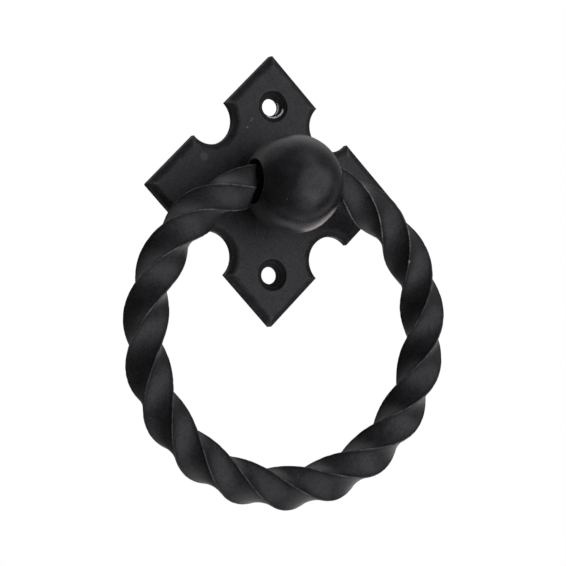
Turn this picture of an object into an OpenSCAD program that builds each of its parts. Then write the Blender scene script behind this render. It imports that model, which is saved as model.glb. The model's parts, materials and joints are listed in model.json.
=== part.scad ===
// Door knocker: a square plate stood on its corner, a ball seated on the plate
// and a ring of twisted square bar hung from a pin through the ball.
// +X right, -Y out of the door towards a caller, +Z up. Origin: centre of the
// plate on its back face, which lies on the door.

/* [Plate] */
// Centre of the plate to each corner tip, before the tips are rounded
plate_half_diag = 55.5; // [55:0.1:58]
// Plate thickness
plate_t = 4.4; // [3.8:0.1:7]
// Depth of the upright rim behind the bevel
rim_t = 3.0; // [1.5:0.1:3.4]
// Width of the bevel, measured square to an edge
bevel_w = 2.4; // [0.5:0.1:3]
// Radius of the round notch in the middle of each side
notch_r = 10; // [5:0.5:12]
// Sideways and upward distance of each notch centre from the plate centre
notch_mid = 27.5; // [27:0.1:29]
// How much each corner tip is taken back
tip_trim = 0.3; // [0.3:0.1:2]

/* [Fixing holes] */
// Height of each fixing hole above or below the middle
fix_z = 34.3; // [32:0.1:38]
// Radius of a fixing hole
fix_r = 3.5; // [2:0.1:3.8]
// Radius of the countersink at the front face
fix_csk_r = 6.6; // [4.5:0.1:6.6]

/* [Ball] */
// Radius of the ball
ball_r = 20; // [19.6:0.1:21]
// Distance of the ball centre from the door
pivot_out = 22.5; // [22:0.1:24]
// Height of the ball centre above the plate centre
pivot_up = 1.2; // [0:0.1:2]
// Radius of the mouth bored in each side
mouth_r = 9.1; // [9.1:0.1:11]
// Distance of each mouth's floor from the middle of the ball
mouth_floor = 12; // [10:0.5:14]

/* [Ring] */
// Radius of the ring's centre line
ring_r = 62.3; // [62:0.1:64]
// Height of the centre line's crown above the pivot, if it ran on over the ball
crown_rise = 2.8; // [2.4:0.1:3]
// Side of the square bar
bar_side = 13.2; // [12:0.1:13.2]
// Side of the bar where it is dressed down at its two ends
end_side = 12.7; // [12:0.1:12.7]
// Rounding radius of the bar's long edges
edge_r = 0.7; // [0.5:0.1:1.2]
// Turns the bar would make in one full circle
twist_turns = 4.355; // [3.8:0.005:4.6]
// Turn of the section at the crown, in degrees
twist_start = 258.2; // [230:0.1:280]
// Extra turn of the section close to the left end, where the bar was held
left_hold = 13; // [0:0.5:14]
// How much of that extra turn is lost again right at the left end
left_back = 5; // [2:0.5:8]
// How far the left end is bent in towards the ring's centre
left_sag = 1.8; // [0:0.1:2]
// How far the right end is bent in towards the ring's centre
right_sag = 0.4; // [0:0.1:2]
// Lean of the ring at rest, foot towards the door, in degrees
ring_lean = 4.4; // [0:0.1:6]
// Distance of the left end face from the middle of the ball, on the pivot line
left_end_x = 18.4; // [18.4:0.1:20]
// Distance of the right end face from the middle of the ball
right_end_x = 18.2; // [18.1:0.1:20]

/* [Pivot pin] */
// Radius of the pin the ring turns on
pin_r = 3; // [2:0.1:3.1]
// Half the length of the pin
pin_half = 22.2; // [21:0.1:22.4]

/* [Hidden fasteners] */
// Radius of the screw that holds the ball
screw_r = 3; // [2:0.1:3]
// Length of that screw, head included
screw_len = 16; // [12:0.5:16.5]
// Radius of the dowel that stops the ball turning
dowel_r = 1.5; // [1:0.1:1.5]
// Length of the dowel
dowel_len = 9; // [7:0.5:10]
// Distance of the dowel below the screw
dowel_drop = 6.6; // [6.4:0.1:6.8]

/* [Hidden] */
run_gap = 0.05;
fit_gap = 0.02;
eps = 0.05;
dowel_from = 1.8;
seat_y = -plate_t;
bevel_t = plate_t - rim_t;
screw_head_r = 2 * screw_r;
ring_drop = ring_r - crown_rise;
corner_out = (bar_side / 2 - edge_r) * sqrt(2);
end_turn = 10.5;
end_tip = 6.4;
sweep_from = 12;
sweep_steps = 144;
edge_points = 3;
section_n = 4 * edge_points;

// Smooth step from 0 to 1.
function ease(t) = t <= 0 ? 0 : t >= 1 ? 1 : t * t * (3 - 2 * t);

// Centre line radius at angle a, counted from the crown towards the left.
function line_r(a) =
  ring_r
  - left_sag * ease((44 - a) / 22)
  - right_sag * ease((a - 316) / 22);

// How much the bar is dressed down towards its ends, 1 along most of the ring.
function girth(a) =
  1 - (1 - end_side / bar_side) * (ease((54 - a) / 28) + ease((a - 306) / 28));

// Turn of the section at angle a.
function section_turn(a) =
  twist_start - twist_turns * a + left_hold * ease((56 - a) / 26) - left_back * ease((26 - a) / 10);

// Corner k of the rounded square section, with a corner on its own zero line.
function edge_point(k, j) =
  let (
    mid = 90 * k,
    turn = mid - 45 + 90 * j / (edge_points - 1)
  )
  [corner_out * cos(mid) + edge_r * cos(turn), corner_out * sin(mid) + edge_r * sin(turn)];

section = [for (k = [0:3]) for (j = [0:edge_points - 1]) edge_point(k, j)];

// One section point carried round the ring and turned with the twist.
function ring_point(a, p) =
  let (
    turn = section_turn(a),
    g = girth(a),
    u = g * (p[0] * cos(turn) - p[1] * sin(turn)),
    v = g * (p[0] * sin(turn) + p[1] * cos(turn)),
    r = line_r(a) + u
  )
  [-r * sin(a), -v, r * cos(a) - ring_drop];

// The bar without its ends trimmed, pivot line through the origin.
module twisted_bar() {
  angles = [for (i = [0:sweep_steps]) sweep_from + i * (360 - 2 * sweep_from) / sweep_steps];
  points = [for (a = angles) for (p = section) ring_point(a, p)];
  last = sweep_steps * section_n;
  lower = [
    for (i = [0:sweep_steps - 1]) for (j = [0:section_n - 1])
      [i * section_n + j, (i + 1) * section_n + j, (i + 1) * section_n + (j + 1) % section_n]
  ];
  upper = [
    for (i = [0:sweep_steps - 1]) for (j = [0:section_n - 1])
      [i * section_n + j, (i + 1) * section_n + (j + 1) % section_n, i * section_n + (j + 1) % section_n]
  ];
  caps = [
    [for (j = [0:section_n - 1]) j],
    [for (j = [0:section_n - 1]) last + section_n - 1 - j]
  ];
  polyhedron(points = points, faces = concat(lower, upper, caps), convexity = 10);
}

// Block that saws the left end off at x, out of square by a turn and a tip.
module end_saw(x, turn, tip) {
  translate([-x, 0, 0])
    rotate([0, tip, -turn])
      translate([0, -16, -22])
        cube([12, 32, 38]);
}

// A bar laid along X between two points of the pivot line.
module along_pivot(r, x0, x1) {
  translate([x0, 0, 0])
    rotate([0, 90, 0])
      cylinder(h = x1 - x0, r = r, $fn = 96);
}

// A rod standing on the door, from depth y0 out to depth y1.
module outwards(r, y0, y1, z) {
  translate([0, -y0, z])
    rotate([90, 0, 0])
      cylinder(h = y1 - y0, r = r, $fn = 72);
}

module fixing_hole(z) {
  outwards(fix_r, -eps, plate_t + eps, z);
  sink = fix_csk_r - fix_r;
  translate([0, -plate_t + sink, z])
    rotate([90, 0, 0])
      cylinder(h = sink + eps, r1 = fix_r, r2 = fix_csk_r + eps, $fn = 96);
}

module notch(x, z) {
  translate([x, z, -eps])
    cylinder(h = plate_t + 2 * eps, r = notch_r, $fn = 120);
  translate([x, z, rim_t])
    cylinder(h = 2 * bevel_t, r1 = notch_r, r2 = notch_r + 2 * bevel_w, $fn = 120);
}

module back_plate() {
  color([0.12, 0.12, 0.125])
    difference() {
      rotate([90, 0, 0])
        difference() {
          intersection() {
            union() {
              cylinder(h = rim_t, r = plate_half_diag, $fn = 4);
              translate([0, 0, rim_t])
                cylinder(
                  h = bevel_t,
                  r1 = plate_half_diag,
                  r2 = plate_half_diag - bevel_w * sqrt(2),
                  $fn = 4
                );
            }
            translate([0, 0, -eps])
              cylinder(h = plate_t + 2 * eps, r = plate_half_diag - tip_trim, $fn = 240);
          }
          for (sx = [-1, 1])
            for (sz = [-1, 1])
              notch(sx * notch_mid, sz * notch_mid);
        }
      fixing_hole(fix_z);
      fixing_hole(-fix_z);
      outwards(screw_r + fit_gap, -eps, plate_t + eps, pivot_up);
      translate([0, eps, pivot_up])
        rotate([90, 0, 0])
          cylinder(
            h = screw_r + eps,
            r1 = screw_head_r + eps + fit_gap,
            r2 = screw_r + fit_gap,
            $fn = 72
          );
      outwards(dowel_r + fit_gap, dowel_from - 0.1, plate_t + eps, pivot_up - dowel_drop);
    }
}

module ball() {
  color([0.1, 0.1, 0.105])
    difference() {
      translate([0, -pivot_out, pivot_up])
        sphere(r = ball_r, $fn = 128);
      translate([-ball_r, seat_y, pivot_up - ball_r])
        cube([2 * ball_r, ball_r, 2 * ball_r]);
      translate([0, -pivot_out, pivot_up]) {
        along_pivot(pin_r + run_gap, -ball_r, ball_r);
        along_pivot(mouth_r, mouth_floor, ball_r);
        along_pivot(mouth_r, -ball_r, -mouth_floor);
      }
      outwards(screw_r + fit_gap, plate_t - eps, screw_len + 0.8, pivot_up);
      outwards(dowel_r + fit_gap, plate_t - eps, dowel_len + 1.2, pivot_up - dowel_drop);
    }
}

module ball_screw() {
  color([0.45, 0.45, 0.46])
    difference() {
      union() {
        outwards(screw_r, 0.1, screw_len, pivot_up);
        translate([0, -0.1, pivot_up])
          rotate([90, 0, 0])
            cylinder(h = screw_r, r1 = screw_head_r - 0.1, r2 = screw_r - 0.1, $fn = 72);
      }
      translate([0, 0.5, pivot_up])
        rotate([90, 0, 0])
          cylinder(h = 2.6, r = 2.3, $fn = 6);
    }
}

module ball_dowel() {
  color([0.5, 0.5, 0.51])
    outwards(dowel_r, dowel_from, dowel_len, pivot_up - dowel_drop);
}

module twisted_ring() {
  color([0.13, 0.13, 0.135])
    translate([0, -pivot_out, pivot_up])
      rotate([ring_lean, 0, 0])
        difference() {
          twisted_bar();
          end_saw(left_end_x, end_turn, end_tip);
          mirror([1, 0, 0])
            end_saw(right_end_x, 0, 0);
          along_pivot(pin_r + fit_gap, -pin_half - 0.1, pin_half + 0.1);
        }
}

module pivot_pin() {
  color([0.4, 0.4, 0.41])
    translate([0, -pivot_out, pivot_up])
      along_pivot(pin_r, -pin_half, pin_half);
}

back_plate();
ball();
ball_screw();
ball_dowel();
twisted_ring();
pivot_pin();
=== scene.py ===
import json
import math

import bpy
import numpy as np
from mathutils import Matrix, Vector, geometry, noise


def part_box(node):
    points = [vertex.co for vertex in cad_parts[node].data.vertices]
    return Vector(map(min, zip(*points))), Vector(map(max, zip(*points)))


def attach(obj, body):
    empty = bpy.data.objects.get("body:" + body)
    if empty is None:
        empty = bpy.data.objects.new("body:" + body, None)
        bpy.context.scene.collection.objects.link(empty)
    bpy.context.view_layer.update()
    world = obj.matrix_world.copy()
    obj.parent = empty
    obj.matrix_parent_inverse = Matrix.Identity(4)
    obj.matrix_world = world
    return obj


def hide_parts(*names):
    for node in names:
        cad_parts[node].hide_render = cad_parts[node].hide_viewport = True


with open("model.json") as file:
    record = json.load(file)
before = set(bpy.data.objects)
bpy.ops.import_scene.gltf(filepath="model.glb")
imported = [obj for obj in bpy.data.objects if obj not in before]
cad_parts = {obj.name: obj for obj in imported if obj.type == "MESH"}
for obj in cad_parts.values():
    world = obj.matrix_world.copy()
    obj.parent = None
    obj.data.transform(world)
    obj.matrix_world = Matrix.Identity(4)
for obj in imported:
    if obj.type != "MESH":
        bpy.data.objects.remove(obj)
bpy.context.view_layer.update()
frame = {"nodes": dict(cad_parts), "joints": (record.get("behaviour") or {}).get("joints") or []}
nodes = frame["nodes"]
pivot = Vector(frame["joints"][0]["pos_m"])
plate_lo, plate_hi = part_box("back_plate")
ball_lo, ball_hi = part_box("ball")
pin_lo, pin_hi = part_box("pivot_pin")
FRONT = plate_lo.y
BALL_R = (ball_hi.z - ball_lo.z) / 2
PIN_R = (pin_hi.z - pin_lo.z) / 2
MM = 0.001

# ---------------------------------------------------------------- camera
# The camera's own turn, tip and roll in degrees, what it looks at in mm, how far off it
# stands in metres, and its focal length as a multiple of the picture's width.
CAM_TURN, CAM_TIP, CAM_ROLL = -27.189, -3.866, 0.234
CAM_AIM, CAM_AWAY, CAM_REACH = (7.05, 0, -37.04), 1.05898, 2601.0 / 566.0
scene = bpy.context.scene
scene.view_settings.view_transform = "Standard"
scene.view_settings.look = "None"


def aim_camera():
    turn, tip, roll = (math.radians(v) for v in (CAM_TURN, CAM_TIP, CAM_ROLL))
    flat = math.cos(tip)
    back = Vector((math.sin(turn) * flat, -math.cos(turn) * flat, math.sin(tip)))
    right = (-back).cross(Vector((0, 0, 1))).normalized()
    up = right.cross(-back)
    r2 = right * math.cos(roll) + up * math.sin(roll)
    u2 = -right * math.sin(roll) + up * math.cos(roll)
    data = bpy.data.cameras.new("camera")
    data.sensor_width = 36.0
    data.lens = CAM_REACH * data.sensor_width
    data.clip_start, data.clip_end = 0.05, 50
    cam = bpy.data.objects.new("camera", data)
    place = Vector(CAM_AIM) * MM + back * CAM_AWAY
    turned = Matrix((r2, u2, back)).transposed().to_4x4()
    cam.matrix_world = Matrix.Translation(place) @ turned
    scene.collection.objects.link(cam)
    scene.camera = cam


aim_camera()

# ---------------------------------------------------------------- node helpers


class Net:
    """A small helper for writing node trees."""

    def __init__(self, tree):
        self.tree = tree
        tree.nodes.clear()

    def add(self, kind, **props):
        n = self.tree.nodes.new(kind)
        for key, value in props.items():
            setattr(n, key, value)
        return n

    def mark(self, name):
        """A value the mesh code wrote on the points."""
        return self.add("ShaderNodeAttribute", attribute_name=name).outputs["Fac"]

    def link(self, a, b):
        self.tree.links.new(a, b)

    def noise(self, coord, scale, detail, rough):
        n = self.add("ShaderNodeTexNoise")
        n.inputs["Scale"].default_value = scale
        n.inputs["Detail"].default_value = detail
        n.inputs["Roughness"].default_value = rough
        self.link(coord, n.inputs["Vector"])
        return n.outputs["Fac"]

    def ramp(self, fac, lo, hi, a=0.0, b=1.0):
        n = self.add("ShaderNodeMapRange")
        for name, v in (("From Min", lo), ("From Max", hi), ("To Min", a), ("To Max", b)):
            n.inputs[name].default_value = v
        self.link(fac, n.inputs["Value"])
        return n.outputs["Result"]

    def math(self, op, a, b=None, c=None):
        n = self.add("ShaderNodeMath", operation=op)
        for i, v in enumerate((a, b, c)):
            if v is None:
                continue
            if isinstance(v, (int, float)):
                n.inputs[i].default_value = v
            else:
                self.link(v, n.inputs[i])
        return n.outputs[0]

    def mix(self, fac, a, b):
        n = self.add("ShaderNodeMix", data_type="RGBA")
        for i, v in ((0, fac), (6, a), (7, b)):
            if isinstance(v, (int, float)):
                n.inputs[i].default_value = v
            elif isinstance(v, tuple):
                n.inputs[i].default_value = (*v, 1.0)
            else:
                self.link(v, n.inputs[i])
        return n.outputs[2]

    def bump(self, height, strength, distance, normal=None):
        n = self.add("ShaderNodeBump")
        n.inputs["Strength"].default_value = strength
        n.inputs["Distance"].default_value = distance
        self.link(height, n.inputs["Height"])
        if normal is not None:
            self.link(normal, n.inputs["Normal"])
        return n.outputs["Normal"]


def material(name):
    """A new material with an empty tree but for its output."""
    mat = bpy.data.materials.new(name)
    mat.use_nodes = True
    net = Net(mat.node_tree)
    return mat, net, net.add("ShaderNodeOutputMaterial")


# pale colours: worn edges with painted highlight, bare metal, and painted light on the ball's
# back
WORN_AND_HIGHLIGHT = (0.26, 0.255, 0.258)
BARE = (0.9, 0.9, 0.9)
BACK_PAINTED_LIGHT = (0.044, 0.0385, 0.0385)


def coat(name, dark, light, rough, grain, beat, spots):
    """Black powder coat: fine grain, cloudy sheen, specks of dust, worn edges with painted
    highlight, and painted shade and painted light where the mesh marks them.
    """
    mat, net, out = material(name)
    bsdf = net.add("ShaderNodeBsdfPrincipled")
    bsdf.inputs["IOR"].default_value = 1.5
    bsdf.inputs["Specular Tint"].default_value = (0.99, 0.95, 1.05, 1.0)
    coord = net.add("ShaderNodeTexCoord").outputs["Object"]
    cloud = net.noise(coord, 70, 3, 0.55)
    blotch = net.noise(coord, 260, 4, 0.6)
    fine = net.noise(coord, 900, 3, 0.65)
    speck = net.noise(coord, 2400, 2, 0.6)
    dust = net.noise(coord, 640, 1, 0.4)

    # colour: cloudy between dark and light, with glinting grains and a little dust
    tone = net.math("ADD", net.math("MULTIPLY", cloud, 0.5), net.math("MULTIPLY", blotch, 0.5))
    colour = net.mix(net.ramp(tone, 0.36, 0.64), dark, light)
    glint = net.math("MULTIPLY", net.ramp(speck, 0.62, 0.78), 0.25 * grain)
    colour = net.mix(glint, colour, tuple(4 * v for v in light))
    fleck = net.math("MULTIPLY", net.ramp(dust, 0.745, 0.775), 0.3)
    colour = net.mix(fleck, colour, tuple(5 * v for v in light))

    # roughness and sheen follow the same clouds and grain
    rough_v = net.math(
        "ADD",
        net.ramp(tone, 0.32, 0.68, rough - 0.06, rough + 0.07),
        net.ramp(fine, 0.3, 0.7, -0.07 * grain, 0.07 * grain),
    )
    sheen = net.math(
        "ADD",
        net.ramp(fine, 0.28, 0.72, 0.5 - 0.17 * grain, 0.5 + 0.17 * grain),
        net.ramp(speck, 0.3, 0.7, -0.12 * grain, 0.12 * grain),
    )
    sheen = net.math("ADD", sheen, net.ramp(blotch, 0.3, 0.7, -0.07, 0.07))

    # matt on the ball's back where hands never reach, with painted light there as a paler colour;
    # painted shade as a cut in sheen where the mesh marks it; wear and painted highlight along
    # the edges
    matt_and_painted_light = net.mark("matt_and_painted_light")
    rough_v = net.math("ADD", rough_v, net.math("MULTIPLY", matt_and_painted_light, 0.2))
    colour = net.mix(net.math("MULTIPLY", matt_and_painted_light, 0.9), colour, BACK_PAINTED_LIGHT)
    sheen = net.math("MULTIPLY", sheen, net.ramp(net.mark("shade"), 0.0, 1.0, 1.0, 0.3))
    rubbed_and_highlit = edge_wear_and_highlight(net, blotch, fine)
    colour = net.mix(rubbed_and_highlit, colour, WORN_AND_HIGHLIGHT)
    rough_v = net.math("SUBTRACT", rough_v, net.math("MULTIPLY", rubbed_and_highlit, 0.12))

    # single marks, then bare metal
    ragged = net.ramp(fine, 0.3, 0.7, -0.2 * MM, 0.2 * MM)
    for centre, radius, soft, gain in spots:
        off = net.add("ShaderNodeVectorMath", operation="DISTANCE")
        off.inputs[1].default_value = [v * MM for v in centre]
        net.link(coord, off.inputs[0])
        off = net.math("ADD", off.outputs["Value"], ragged)
        spot = net.ramp(off, (radius - soft) * MM, (radius + soft) * MM, 1.0, 0.0)
        colour = net.mix(spot, colour, tuple(gain * v for v in light))
    bare = net.math("MULTIPLY", net.ramp(net.mark("bare"), 0.1, 0.45), net.ramp(fine, 0.34, 0.46))
    colour = net.mix(bare, colour, BARE)

    net.link(colour, bsdf.inputs["Base Color"])
    net.link(rough_v, bsdf.inputs["Roughness"])
    net.link(sheen, bsdf.inputs["Specular IOR Level"])
    n1 = net.bump(blotch, beat, 0.0004)
    n2 = net.bump(fine, 0.40 * grain, 0.00018, n1)
    n3 = net.bump(speck, 0.40 * grain, 0.00007, n2)
    net.link(n3, bsdf.inputs["Normal"])
    net.link(bsdf.outputs[0], out.inputs["Surface"])
    return mat


def edge_wear_and_highlight(net, blotch, fine):
    """Wear and painted highlight on the edges, broken up by the grain."""
    wide = net.ramp(blotch, 0.4, 0.6, 0.2, 1.0)
    close = net.ramp(fine, 0.35, 0.6, 0.4, 1.0)
    return net.math("MULTIPLY", net.mark("wear_and_highlight"), net.math("MULTIPLY", wide, close))


def steel(name, colour, rough):
    """Plain machined steel with fine turning marks."""
    mat, net, out = material(name)
    bsdf = net.add("ShaderNodeBsdfPrincipled")
    bsdf.inputs["Metallic"].default_value = 1.0
    coord = net.add("ShaderNodeTexCoord").outputs["Object"]
    cloud = net.noise(coord, 320, 3, 0.6)
    fine = net.noise(coord, 2400, 2, 0.5)
    tint = net.mix(net.ramp(cloud, 0.35, 0.65), tuple(0.7 * v for v in colour), colour)
    net.link(tint, bsdf.inputs["Base Color"])
    net.link(net.ramp(cloud, 0.3, 0.7, rough - 0.08, rough + 0.1), bsdf.inputs["Roughness"])
    net.link(net.bump(fine, 0.3, 0.00005), bsdf.inputs["Normal"])
    net.link(bsdf.outputs[0], out.inputs["Surface"])
    return mat


# Marks in the coat: where, radius and softness in mm, and how much lighter than the coat.
# On the plate a pale round dab, a short scratch and a few flecks.
PLATE_SPOTS = (
    ((-30.9, -4.4, 12.2), 1.75, 0.4, 4.2),
    ((-10.0, -4.4, 28.0), 0.4, 0.25, 9.0),
    ((-9.3, -4.4, 28.7), 0.35, 0.25, 9.0),
    ((-11.6, -4.4, 25.2), 0.35, 0.2, 11.0),
    ((-18.2, -4.4, 36.6), 0.3, 0.2, 5.0),
    ((4.5, -4.4, 31.1), 0.4, 0.25, 7.0),
    ((5.8, -4.4, 33.3), 0.3, 0.2, 6.0),
)
BALL_SPOTS = (
    ((-10.6, -37.5, -6.8), 0.3, 0.2, 6.0),
    ((-12.4, -36.6, -5.7), 0.35, 0.2, 0.3),
)
RING_SPOTS = (
    ((50.1, -28.3, -28.6), 0.45, 0.3, 30.0),
    ((-54.1, -28.8, -26.7), 0.5, 0.3, 0.4),
)
PLATE = coat(
    "plate_black",
    dark=(0.0100, 0.0095, 0.0102),
    light=(0.0145, 0.0138, 0.0148),
    rough=0.50,
    grain=1.0,
    beat=0.22,
    spots=PLATE_SPOTS,
)
BALL = coat(
    "ball_black",
    dark=(0.0070, 0.0067, 0.0072),
    light=(0.0110, 0.0105, 0.0112),
    rough=0.25,
    grain=0.6,
    beat=0.12,
    spots=BALL_SPOTS,
)
RING = coat(
    "ring_black",
    dark=(0.0085, 0.0081, 0.0088),
    light=(0.0130, 0.0124, 0.0134),
    rough=0.44,
    grain=0.9,
    beat=0.40,
    spots=RING_SPOTS,
)
PIN = steel("pin_steel", (0.03, 0.03, 0.032), 0.5)
SCREW = steel("screw_steel", (0.34, 0.34, 0.345), 0.34)

# ---------------------------------------------------------------- mesh helpers


def make(name, points, faces, material, body, stands_for, marks, sharp):
    """A smooth mesh with its marks, on its body and in place of its CAD node."""
    mesh = bpy.data.meshes.new(name)
    mesh.from_pydata([tuple(p) for p in points], [], faces)
    mesh.validate()
    mesh.polygons.foreach_set("use_smooth", [True] * len(mesh.polygons))
    mesh.set_sharp_from_angle(angle=math.radians(sharp))
    for key, values in marks.items():
        attr = mesh.attributes.new(key, "FLOAT", "POINT")
        attr.data.foreach_set("value", np.asarray(values, np.float32))
    mesh.update()
    obj = bpy.data.objects.new(name, mesh)
    scene.collection.objects.link(obj)
    mesh.materials.append(material)
    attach(obj, body)
    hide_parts(stands_for)


def strip(faces, a, b, n, flip=False):
    """Joins two closed loops of n points that start at a and b."""
    for j in range(n):
        k = (j + 1) % n
        quad = (a + j, a + k, b + k, b + j)
        faces.append(quad[::-1] if flip else quad)


# ---------------------------------------------------------------- ring
# Angles run in degrees from the crown towards the left, lengths are in mm. The bar is
# drawn a hair thinner than its solid, so that no mark on it stands proud of the solid.
RING_R, RISE, HALF, EDGE = 62.3, 2.8, 6.54, 0.5
LEFT_SAG, RIGHT_SAG = 1.8, 0.4
BAR_SIDE, END_SIDE = 13.2, 12.7
TWIST, START, LEAN = 4.355, 258.2, 4.4
HOLD, HOLD_BACK = 13, 5
ARC_OF_BAR, MM_PER_DEGREE = 324, 1.085
# how far one ridge stands from the bar's middle, and what it loses beside the left end
RIDGE, DRESSED = 9.04, 0.7
# the saw cut at each end: distance from the ball's middle, turn and tip
CUTS = {-1: (18.4, 10.5, 6.4), 1: (18.2, 0.0, 0.0)}


def ease(t):
    """Smooth step from 0 to 1."""
    t = np.clip(t, 0, 1)
    return t * t * (3 - 2 * t)


def line_r(a):
    """Radius of the bar's centre line at angle a; both ends are bent in a little."""
    return RING_R - LEFT_SAG * ease((44 - a) / 22) - RIGHT_SAG * ease((a - 316) / 22)


def girth(a):
    """The bar is dressed down a little towards its ends."""
    return 1 - (1 - END_SIDE / BAR_SIDE) * (ease((54 - a) / 28) + ease((a - 306) / 28))


def twist(a):
    """Turn of the section at angle a; close to the left end the bar was held in the vice."""
    held = HOLD * ease((56 - a) / 26) - HOLD_BACK * ease((26 - a) / 10)
    return START - TWIST * a + held


ARRIS_STEPS = 7
FACE_STEPS = (0.94, 0.87, 0.78, 0.62, 0.42, 0.21, 0.0)
FACE_STEPS += tuple(-s for s in FACE_STEPS[-2::-1])
SIDE_STEPS = ARRIS_STEPS + len(FACE_STEPS)


def section():
    """Rounded square with its faces pulled in slightly, as twisting leaves them."""
    pts, edge, shade = [], [], []
    c = (HALF - EDGE) * math.sqrt(2)
    for k in range(4):
        mid = math.radians(90 * k)
        for j in range(ARRIS_STEPS):
            t = mid + math.radians(-45 + 15 * j)
            x, y = c * math.cos(mid), c * math.sin(mid)
            pts.append((x + EDGE * math.cos(t), y + EDGE * math.sin(t)))
            edge.append((0.15, 0.6, 1.0, 1.0, 1.0, 0.6, 0.15)[j])
            shade.append(0.0)
        face = mid + math.radians(45)
        n = (math.cos(face), math.sin(face))
        run = HALF - EDGE
        for s in FACE_STEPS:
            dip = 0.18 * (1 - s**4)
            h = HALF - dip
            pts.append((h * n[0] + s * run * n[1], h * n[1] - s * run * n[0]))
            edge.append(0.0)
            # painted shade: dark lines close beside each ridge
            shade.append({0.94: 1.0, 0.87: 0.7, 0.78: 0.2}.get(abs(s), 0.0))
    return np.array(pts), np.array(edge), np.array(shade)


def bar_point(a, p):
    """A section point carried to angle a, in millimetres from the pivot."""
    turn = np.radians(twist(a))
    # one ridge is hammered flat close to the left end
    x, y = np.minimum(p[..., 0], RIDGE - DRESSED * ease((35 - a) / 8)), p[..., 1]
    u = x * np.cos(turn) - y * np.sin(turn)
    v = x * np.sin(turn) + y * np.cos(turn)
    g = girth(a)
    u, v = u * g, v * g
    r, t = line_r(a) + u, np.radians(a)
    return np.stack([-r * np.sin(t), -v, r * np.cos(t) - (RING_R - RISE)], -1)


def end_angles(sec, side):
    """Where each long line of the bar meets the sawn end on one side."""
    end_x, end_turn, end_tip = CUTS[side]
    c, b = math.radians(-end_turn), math.radians(end_tip)
    n = np.array([math.cos(b) * math.cos(c), math.cos(b) * math.sin(c), -math.sin(b)])
    found = []
    grid = np.linspace(12, 36, 2401) if side < 0 else np.linspace(324, 348, 2401)
    for p in sec:
        q = bar_point(grid, np.broadcast_to(p, (len(grid), 2)))
        x = q * np.array([-side, 1, 1])
        gap = (x - np.array([-end_x, 0, 0])) @ n
        found.append(grid[np.argmin(np.abs(gap))])
    return np.array(found)


LOOPS_ROUND = 900


def forged(p, worn_and_highlit):
    """How deep the hammer left the skin at p; the ridges are nicked as well."""
    slow = noise.noise(p * 0.09) * 0.5 + 0.5
    quick = noise.noise(p * 0.33 + Vector((7, 3, 1))) * 0.5 + 0.5
    cut = 0.03 + 0.07 * slow + 0.06 * quick
    if worn_and_highlit > 0:
        cut += 0.16 * max(0.0, noise.noise(p * 0.45 + Vector((2, 8, 5))))
    return cut


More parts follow.
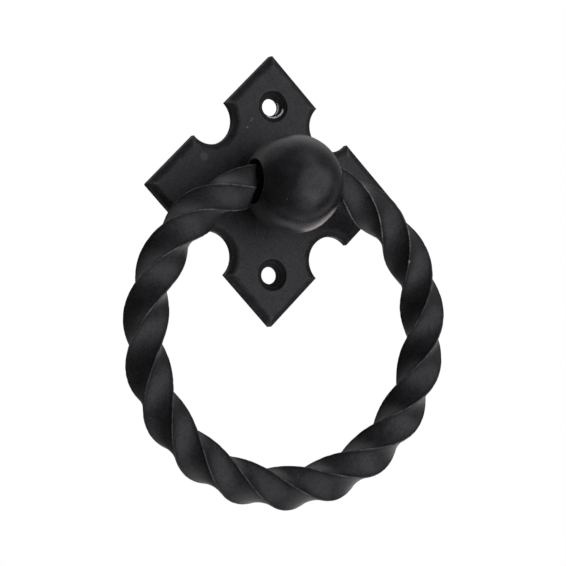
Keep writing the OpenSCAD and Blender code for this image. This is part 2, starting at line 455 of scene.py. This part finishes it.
def build_ring():
    sec, edge, beside = section()
    m = len(sec)
    left, right = end_angles(sec, -1), end_angles(sec, 1)
    share = np.linspace(0, 1, LOOPS_ROUND + 1)
    # a few close loops at each end carry the rounded arris of the cut
    tuck = np.array([0, 0.0004, 0.0009, 0.0014])
    share = np.unique(np.concatenate([share, tuck, 1 - tuck]))
    pts, wear_and_highlight, shade = [], [], []
    for s in share:
        a = left * (1 - s) + right * s
        to_end = min(s, 1 - s) * ARC_OF_BAR * MM_PER_DEGREE
        k = 1.0
        if to_end < EDGE:
            k = 1 - 0.055 * (1 - math.sqrt(max(0.0, 1 - (1 - to_end / EDGE) ** 2)))
        pts.append(bar_point(a, sec * k))
        # wear and painted highlight on the ridges, strongest high on the right arm and beside the
        # left end
        highlight_and_rub = 0.45 + 0.9 * ease((a - 298) / 22) * ease((352 - a) / 16)
        highlight_and_rub += 0.3 * ease((44 - a) / 14)
        uneven = [
            1 + 0.8 * noise.noise(Vector((0.16 * a[j], 9.0 * (j // SIDE_STEPS), 4.0)))
            for j in range(m)
        ]
        # the last of the bar, inside the ball's mouth, gets neither wear nor painted highlight,
        # and painted shade darkens it there
        wear_and_highlight.append(np.clip(edge * highlight_and_rub * uneven * ease(to_end / 2.5), 0, 1.3))
        shade.append(np.maximum(0.6 * beside, ease(1 - to_end / 2.4)))
    pts = np.concatenate(pts)
    wear_and_highlight = np.concatenate(wear_and_highlight)
    n = len(share)
    faces = []
    for i in range(n - 1):
        for j in range(m):
            k = (j + 1) % m
            faces.append((i * m + j, (i + 1) * m + j, (i + 1) * m + k, i * m + k))
    # the two cut ends
    extra, extra_wear_and_highlight = [], []
    base = n * m
    for first, flip in ((0, False), ((n - 1) * m, True)):
        rim = pts[first : first + m]
        mid = rim.mean(0)
        inner = len(extra)
        for f in (0.75, 0.4):
            extra.extend(mid + (rim - mid) * f)
            extra_wear_and_highlight.extend([0.0] * m)
        extra.append(mid)
        extra_wear_and_highlight.append(0.0)
        rows = [first, base + inner, base + inner + m]
        tip = base + inner + 2 * m
        for a, b in zip(rows, rows[1:]):
            strip(faces, a, b, m, flip)
        for j in range(m):
            k = (j + 1) % m
            tri = (rows[-1] + j, rows[-1] + k, tip)
            faces.append(tri[::-1] if flip else tri)
    pts = np.concatenate([pts, np.array(extra)])
    wear_and_highlight = np.concatenate([wear_and_highlight, np.array(extra_wear_and_highlight)])
    # painted shade on the two cut ends
    shade = np.concatenate([np.concatenate(shade), np.full(len(extra), 0.5)])
    # forging marks: shallow, always inwards, so the bar stays inside its solid
    centre = np.zeros_like(pts)
    ang = np.degrees(np.arctan2(-pts[:, 0], pts[:, 2] + RING_R - RISE)) % 360
    rr = line_r(ang)
    centre[:, 0] = -rr * np.sin(np.radians(ang))
    centre[:, 2] = rr * np.cos(np.radians(ang)) - (RING_R - RISE)
    away = pts - centre
    size = np.linalg.norm(away, axis=1)
    for i in range(len(pts)):
        if size[i] > 1:
            pts[i] -= away[i] / size[i] * forged(Vector(pts[i]), wear_and_highlight[i])
    lean = np.array(Matrix.Rotation(math.radians(LEAN), 3, "X"))
    pts = pts @ lean.T * MM + np.array(pivot)
    marks = {"wear_and_highlight": wear_and_highlight, "shade": shade}
    name = "twisted_ring_bar"
    make(name, pts, faces, RING, "ring_assembly", "twisted_ring", marks, 50)


build_ring()

# ---------------------------------------------------------------- back plate
# Half the diagonal, the notches' radius, the thickness, the upright rim's depth, the
# bevel's width and the small cut at each tip, all in mm; then the fixing holes.
DIAG, NOTCH, THICK, RIM, BEVEL, TIP = 55.5, 10.0, 4.4, 3.0, 2.4, 0.38
NOTCH_MID = 27.5
HOLE_Z, HOLE_R, SINK_R = 34.3, 3.5, 6.6
BEVEL_SHADE = 0.58


def outline(d):
    """The plate's outline drawn in by d, four sides with a round notch in each.

    Comes with a mark for each point, 1 at the corners that get rubbed.
    """
    half = DIAG / math.sqrt(2)
    # how far inside its side the centre of a notch lies
    lag = half - NOTCH_MID * math.sqrt(2)
    trim = max(TIP - d * math.sqrt(2), 0.15)
    leg = trim * math.sqrt(2)
    reach = half - d - leg
    deep = d - lag
    open_ = math.sqrt((NOTCH + d) ** 2 - deep**2)
    pts, corner = [], []
    for k in range(4):
        ang = math.radians(45 + 90 * k)
        out = np.array([math.cos(ang), math.sin(ang)])
        along = np.array([-math.sin(ang), math.cos(ang)])
        mid = out * half
        for s in np.linspace(-reach, -open_, 14):
            pts.append(mid - d * out + s * along)
            corner.append(0.0)
        corner[-1] = 1.0
        hub = mid - lag * out
        f0, f1 = math.atan2(deep, -open_), math.atan2(deep, open_)
        if f0 < 0:
            f0 += 2 * math.pi
        for f in np.linspace(f0, f1, 66)[1:-1]:
            pts.append(hub + (NOTCH + d) * (math.cos(f) * along - math.sin(f) * out))
            corner.append(0.0)
        for s in np.linspace(open_, reach, 14):
            pts.append(mid - d * out + s * along)
            corner.append(0.0)
        corner[-14] = 1.0
        corner[-1] = 0.7
        a = pts[-1]
        nxt = math.radians(45 + 90 * (k + 1))
        out2 = np.array([math.cos(nxt), math.sin(nxt)])
        along2 = np.array([-math.sin(nxt), math.cos(nxt)])
        b = out2 * half - d * out2 - reach * along2
        tip = (out + out2) / math.sqrt(2)
        for t in (0.2, 0.4, 0.6, 0.8):
            pts.append(a * (1 - t) + b * t + tip * 0.2 * trim * 4 * t * (1 - t))
            corner.append(1.0)
    return np.array(pts), np.array(corner)


def curve(a, corner, b, n=5):
    """Points of a small arc from a to b round a corner."""
    a, c, b = (np.array(v, float) for v in (a, corner, b))
    steps = np.linspace(0, 1, n)
    return [tuple((1 - t) ** 2 * a + 2 * t * (1 - t) * c + t * t * b) for t in steps]


def chatter(r, t):
    """Bare metal where the drill chattered, low on the right of the upper countersink."""
    t = (t + 180) % 360 - 180
    climb = 1.3 * float(np.clip((t + 100) / 80, 0, 1))
    long_arc = 1 - abs(r - 3.9 - climb) / 0.4
    short_arc = 1 - abs(r - 3.75) / 0.3
    long_arc *= min(1.0, max(0.0, 1 - (abs(t + 60) - 40) / 20))
    short_arc *= 0.6 * min(1.0, max(0.0, 1 - (abs(t + 10) - 30) / 20))
    return max(0.0, long_arc, short_arc)


def build_plate():
    pts, worn_and_highlit, bare, painted_shade, faces = [], [], [], [], []

    def add_loop(loop, y, mark, dark=0.0, bright=None):
        """Adds a closed loop at depth y with its marks and returns its first index."""
        first = len(pts)
        for i, (x, z) in enumerate(loop):
            pts.append((x, -y, z))
            worn_and_highlit.append(float(mark[i]) if hasattr(mark, "__len__") else mark)
            bare.append(0.0 if bright is None else float(bright[i]))
            painted_shade.append(dark)
        return first

    # the rim and the bevel, from the back round to the front: how far in, how deep, how worn and
    # highlit
    slope = math.hypot(BEVEL, THICK - RIM)
    bx, by = BEVEL / slope, (THICK - RIM) / slope
    side = [(0.9, 0.0, 0.0), (0.3, 0.0, 0.2)]
    side += [(d, y, 0.3) for d, y in curve((0.3, 0.0), (0, 0), (0, 0.3))[1:]]
    side += [(0.0, y, 0.0) for y in (0.9, 1.6, 2.3)]
    arris = curve((0, RIM - 0.28), (0, RIM), (0.28 * bx, RIM + 0.28 * by), 6)
    side += [(d, y, m) for (d, y), m in zip(arris, (0.1, 0.25, 0.4, 0.4, 0.25, 0.1))]
    side += [(BEVEL * t, RIM + (THICK - RIM) * t, 0.0) for t in (0.25, 0.45)]
    soft = curve((BEVEL - bx, THICK - by), (BEVEL, THICK), (BEVEL + 1.0, THICK), 7)
    side += [(d, y, m) for (d, y), m in zip(soft, (0.0, 0.03, 0.08, 0.12, 0.08, 0.03, 0.0))]
    side.append((BEVEL + 1.6, THICK, 0.0))
    starts = []
    for d, y, mark in side:
        loop, corner = outline(d)
        n = len(loop)
        if 0 < y < THICK:
            mark = np.clip(mark + 0.3 * corner, 0, 1)
        # painted shade on the rim's wall and on the bevel, as a cut in sheen
        starts.append(add_loop(loop, y, mark, BEVEL_SHADE if 0.3 < y < THICK - 0.03 else 0.0))
    for a, b in zip(starts, starts[1:]):
        strip(faces, a, b, n, True)
    fronts, backs = [(starts[-1], n)], [(starts[0], n)]

    # fixing holes, countersunk with a coarse turned finish
    turns = np.radians(np.arange(0, 360, 3.75))
    hn = len(turns)
    foot = THICK - (SINK_R - HOLE_R)
    for z in (HOLE_Z, -HOLE_Z):
        prof = [(SINK_R + 1.1, THICK, 0.0), (SINK_R + 0.3, THICK, 0.0)]
        mouth = curve((SINK_R + 0.3, THICK), (SINK_R, THICK), (SINK_R - 0.2, THICK - 0.2), 5)
        prof += [(r, y, m) for (r, y), m in zip(mouth[1:], (0.1, 0.2, 0.2, 0.1))]
        for i in range(1, 33):
            down = i / 33 * (SINK_R - 0.2 - HOLE_R)
            groove = 0.105 * (0.5 - 0.5 * math.cos(2 * math.pi * i / 5.5))
            prof.append((SINK_R - 0.2 - down + groove, THICK - 0.2 - down - groove, 0.0))
        prof += [(HOLE_R, foot, 0.3), (HOLE_R, 0.9, 0.0), (HOLE_R, 0.25, 0.0)]
        prof += [(HOLE_R + 0.2, 0.0, 0.0), (HOLE_R + 0.9, 0.0, 0.0)]
        rows = []
        for r, y, m in prof:
            loop = [(r * math.cos(t), z + r * math.sin(t)) for t in turns]
            chipped = z > 0 and foot - 0.5 < y < THICK - 0.5
            shine = [chatter(r, math.degrees(t)) if chipped else 0.0 for t in turns]
            # painted shade on the countersink's cone: rings of darker sheen, darkest in its outer
            # part
            band = 0.6 - 0.5 * math.cos(2 * math.pi * (r - HOLE_R) / 0.8)
            band = min(1.0, band + (0.3 if r > 5.6 else 0.0))
            rows.append(add_loop(loop, y, m, band if foot < y < THICK - 0.1 else 0.0, shine))
        for a, b in zip(rows, rows[1:]):
            strip(faces, a, b, hn)
        fronts.append((rows[0], hn))
        backs.append((rows[-1], hn))

    # the seat of the ball's screw, sunk from the back
    up = pivot.z / MM
    prof = [(7.0, 0.0), (6.05, 0.0), (3.04, 3.0), (3.04, 3.7), (3.04, THICK), (3.6, THICK)]
    rows = []
    for r, y in prof:
        rows.append(add_loop([(r * math.cos(t), up + r * math.sin(t)) for t in turns], y, 0.0))
    for a, b in zip(rows, rows[1:]):
        strip(faces, a, b, hn, True)
    fronts.append((rows[-1], hn))
    backs.append((rows[0], hn))

    # the flat faces
    for rims, front in ((fronts, True), (backs, False)):
        flat, index, edges, ring_of = [], [], [], []
        for which, (first, count) in enumerate(rims):
            base = len(flat)
            for j in range(count):
                flat.append(Vector((pts[first + j][0], pts[first + j][2])))
                index.append(first + j)
                ring_of.append(which)
                edges.append((base + j, base + (j + 1) % count))
        found = geometry.delaunay_2d_cdt(flat, edges, [], 1, 1e-6)
        for tri in found[2]:
            own = [found[3][v][0] for v in tri]
            loops = {ring_of[o] for o in own}
            if len(loops) == 1 and 0 not in loops:
                continue  # this one closes a hole
            q = [index[o] for o in own]
            a, b, d = (Vector((pts[v][0], pts[v][2])) for v in q[:3])
            ccw = (b - a).cross(d - a) > 0
            faces.append(q if ccw == front else q[::-1])
    pts = [(x * MM, y * MM, z * MM) for x, y, z in pts]
    marks = {"wear_and_highlight": worn_and_highlit, "bare": bare, "shade": painted_shade}
    name = "plate_forging"
    make(name, pts, faces, PLATE, "plate_assembly", "back_plate", marks, 32)


build_plate()

# ---------------------------------------------------------------- ball


def build_ball():
    R, mouth, bed, bore = BALL_R / MM, 9.0, 12.0, PIN_R / MM + 0.05
    lip = 0.18
    prof, wear_and_highlight = [], []
    # half profile from the equator out over the lip, down the mouth and in to the bore
    r_c = mouth + lip
    x_c = math.sqrt((R - lip) ** 2 - r_c**2)
    a_end = math.atan2(r_c, x_c)
    for t in np.linspace(math.pi / 2, a_end, 60):
        prof.append((R * math.cos(t), R * math.sin(t)))
        wear_and_highlight.append(0.0)
    for t in np.linspace(a_end, -math.pi, 12)[1:]:
        prof.append((x_c + lip * math.cos(t), r_c + lip * math.sin(t)))
        wear_and_highlight.append(0.8)
    for x in np.linspace(x_c, bed + 0.3, 8)[1:]:
        prof.append((x, mouth))
        wear_and_highlight.append(0.0)
    prof.append((bed + 0.08, mouth - 0.1))
    prof.append((bed, mouth - 0.4))
    for r in (7.5, 5.5, bore + 0.3):
        prof.append((bed, r))
    prof.append((bed - 0.3, bore))
    for x in (8.0, 4.0):
        prof.append((x, bore))
    wear_and_highlight += [0.0] * (len(prof) - len(wear_and_highlight))
    half = list(zip(prof, wear_and_highlight))
    loop = half + [((-x, r), w) for (x, r), w in reversed(half[1:])]
    n = 256
    pts, marks, matt_and_painted_light, faces = [], [], [], []
    for (x, r), w in loop:
        for j in range(n):
            t = 2 * math.pi * j / n
            y, z = r * math.cos(t), r * math.sin(t)
            p = Vector((x, y, z))
            if r > mouth + lip and w == 0:
                slow = noise.noise(p * 0.16) * 0.5 + 0.5
                quick = noise.noise(p * 0.5) * 0.5 + 0.5
                p -= p.normalized() * (0.05 * slow + 0.02 * quick)
            q = pivot + p * MM
            q.y = min(q.y, FRONT)
            pts.append(q)
            marks.append(w)
            # hands have polished the front; the back keeps the coat's first matt face, and
            # painted light lifts its colour paler so its edge shows bright
            matt_and_painted_light.append(float(ease((y + 9) / 9)))
    m = len(loop)
    for i in range(m):
        strip(faces, i * n, (i + 1) % m * n, n)
    worn_and_highlit = {"wear_and_highlight": marks, "matt_and_painted_light": matt_and_painted_light}
    make("ball_shell", pts, faces, BALL, "plate_assembly", "ball", worn_and_highlit, 40)


build_ball()

# ---------------------------------------------------------------- CAD nodes that stay


def dress(name, material, width):
    """Softens a CAD node's edges with modifiers and gives it its finish."""
    obj = nodes[name]
    weld = obj.modifiers.new("weld", "WELD")
    weld.merge_threshold = 0.000002
    plane = obj.modifiers.new("planes", "DECIMATE")
    plane.decimate_type = "DISSOLVE"
    plane.angle_limit = math.radians(0.6)
    soft = obj.modifiers.new("arris", "BEVEL")
    soft.width = width
    soft.segments = 3
    soft.limit_method = "ANGLE"
    soft.angle_limit = math.radians(28)
    soft.harden_normals = True
    obj.data.materials.clear()
    obj.data.materials.append(material)
    for f in obj.data.polygons:
        f.use_smooth = True
        f.material_index = 0


dress("ball_screw", SCREW, 0.0002)
dress("ball_dowel", SCREW, 0.0002)
dress("pivot_pin", PIN, 0.0003)

# ---------------------------------------------------------------- floor and light
FLOOR_R, FLOOR_Z = 3.2, -0.30


def floor():
    mesh = bpy.data.meshes.new("floor")
    around = np.linspace(0, 2 * math.pi, 97)[:-1]
    rim = [(FLOOR_R * math.cos(t), FLOOR_R * math.sin(t), FLOOR_Z) for t in around]
    mesh.from_pydata(rim, [], [tuple(range(len(rim)))])
    mat, net, out = material("floor")
    bsdf = net.add("ShaderNodeBsdfPrincipled")
    bsdf.inputs["Base Color"].default_value = (0.9, 0.9, 0.9, 1)
    bsdf.inputs["Roughness"].default_value = 0.8
    # painted light: the floor glows, paler towards its rim, so it runs out into the white
    bsdf.inputs["Emission Color"].default_value = (1, 1, 1, 1)
    far = net.add("ShaderNodeVectorMath", operation="LENGTH")
    net.link(net.add("ShaderNodeTexCoord").outputs["Object"], far.inputs[0])
    floor_glow = net.ramp(far.outputs["Value"], 0.35, 2.6, 0.43, 0.62)
    net.link(floor_glow, bsdf.inputs["Emission Strength"])
    net.link(bsdf.outputs[0], out.inputs["Surface"])
    mesh.materials.append(mat)
    obj = bpy.data.objects.new("floor", mesh)
    scene.collection.objects.link(obj)
    # the studio lights stand below it too, so it is only a thing to look at
    obj.visible_diffuse = False
    obj.visible_glossy = False
    obj.visible_shadow = False


floor()


def flag(z):
    """A black card behind a fixing hole, out of the camera's sight, as in the studio."""
    mesh = bpy.data.meshes.new("flag")
    r, y = (HOLE_R - 0.1) * MM, -0.4 * MM
    around = np.linspace(0, 2 * math.pi, 49)[:-1]
    rim = [(r * math.cos(t), y, z * MM + r * math.sin(t)) for t in around]
    mesh.from_pydata(rim, [], [tuple(range(len(rim)))])
    mat, net, out = material("flag")
    cloth = net.add("ShaderNodeBsdfDiffuse")
    cloth.inputs["Color"].default_value = (0.02, 0.02, 0.02, 1)
    net.link(cloth.outputs[0], out.inputs["Surface"])
    mesh.materials.append(mat)
    obj = bpy.data.objects.new("flag", mesh)
    scene.collection.objects.link(obj)
    obj.visible_camera = False


flag(HOLE_Z)
flag(-HOLE_Z)


# Light patches round the object: direction, how narrow each is, strength, tint, and
# whether its edge is crisp like a softbox or fades away. A fitting program chose these
# rows to suit the photograph's tones; a few strengths and the tints were then set one by one.
PLAIN, WARM, COOL = (1.0, 1.0, 1.0), (1.12, 0.94, 0.95), (0.85, 1.04, 1.15)
PATCHES = (
    ((0.45, -0.89, -0.04), 4.5, 0.95, PLAIN, True),
    ((0.52, 0.40, -0.76), 4.5, 0.563, PLAIN, True),
    ((0.30, 0.45, 0.84), 6, 0.765, PLAIN, False),
    ((0.28, -0.67, -0.69), 12, 0.623, PLAIN, True),
    ((0.31, -0.57, 0.76), 20, 0.703, PLAIN, False),
    ((-0.39, 0.31, 0.86), 7, 0.233, PLAIN, True),
    ((0.57, 0.80, -0.21), 12, 0.643, WARM, True),
    ((-0.12, 0.14, -0.98), 7, 0.290, PLAIN, True),
    ((0.89, -0.43, 0.17), 28, 0.402, PLAIN, False),
    ((-0.35, -0.93, 0.15), 7, 0.066, COOL, True),
    ((-0.64, 0.61, 0.46), 28, 0.354, PLAIN, False),
    ((-0.26, -0.82, -0.50), 28, 0.358, PLAIN, False),
    ((-0.45, -0.62, 0.64), 7, 0.085, PLAIN, True),
    ((0.98, 0.03, -0.17), 28, 0.170, COOL, False),
)
FILL = 0.09


def sky():
    world = bpy.data.worlds.new("studio")
    scene.world = world
    world.use_nodes = True
    net = Net(world.node_tree)
    out = net.add("ShaderNodeOutputWorld")
    seen = net.add("ShaderNodeBackground")
    seen.inputs["Color"].default_value = (1, 1, 1, 1)
    seen.inputs["Strength"].default_value = 1.0
    coord = net.add("ShaderNodeTexCoord").outputs["Generated"]
    total = None
    for aim, narrow, power, tint, crisp in PATCHES:
        dot = net.add("ShaderNodeVectorMath", operation="DOT_PRODUCT")
        net.link(coord, dot.inputs[0])
        dot.inputs[1].default_value = Vector(aim).normalized()
        away = net.math("MULTIPLY_ADD", dot.outputs["Value"], float(-narrow), float(narrow))
        if crisp:
            away = net.math("POWER", net.math("MAXIMUM", away, 0.0), 4.0)
        fall = net.math("EXPONENT", net.math("MULTIPLY", away, -1.0))
        glow = net.add("ShaderNodeVectorMath", operation="SCALE")
        glow.inputs[0].default_value = [power * v for v in tint]
        net.link(fall, glow.inputs["Scale"])
        step = net.add("ShaderNodeVectorMath", operation="ADD")
        net.link(glow.outputs[0], step.inputs[0])
        if total is None:
            step.inputs[1].default_value = (FILL, FILL, FILL)
        else:
            net.link(total, step.inputs[1])
        total = step.outputs[0]
    lit = net.add("ShaderNodeBackground")
    net.link(total, lit.inputs["Color"])
    path = net.add("ShaderNodeLightPath")
    both = net.add("ShaderNodeMixShader")
    net.link(path.outputs["Is Camera Ray"], both.inputs[0])
    net.link(lit.outputs[0], both.inputs[1])
    net.link(seen.outputs[0], both.inputs[2])
    net.link(both.outputs[0], out.inputs["Surface"])


sky()
